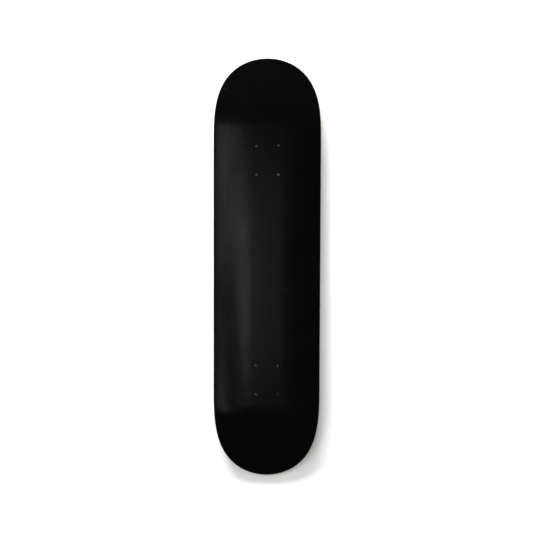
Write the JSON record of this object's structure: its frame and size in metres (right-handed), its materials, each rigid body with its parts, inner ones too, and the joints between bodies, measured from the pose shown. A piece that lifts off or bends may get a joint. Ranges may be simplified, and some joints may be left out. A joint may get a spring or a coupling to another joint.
{
  "type": "skateboard deck",
  "caption": "Laminated maple skateboard deck with kicked nose and tail, concave rails, dark underside film and open truck holes, lying underside up.",
  "frame": {"origin": "middle of the footprint on the resting surface, midway between the nose and tail tips", "axes": "+Y towards the nose, X across the deck, +Z out of the underside, where the trucks bolt on"},
  "size_m": [0.2046, 0.802, 0.0565],
  "materials": {
    "maple_face": "satin clear lacquer",
    "maple_core": "sanded and sealed edge",
    "maple_cross": "sanded and sealed edge, cross grain",
    "black_film": "satin near-black heat-transfer film"
  },
  "bodies": {
    "root": {"top_face_ply": "maple_face", "top_core_ply": "maple_core", "upper_cross_ply": "maple_cross", "center_core_ply": "maple_core", "lower_cross_ply": "maple_cross", "bottom_core_ply": "maple_core", "bottom_face_ply": "maple_face", "bottom_film": "black_film"}
  },
  "joints": []
}
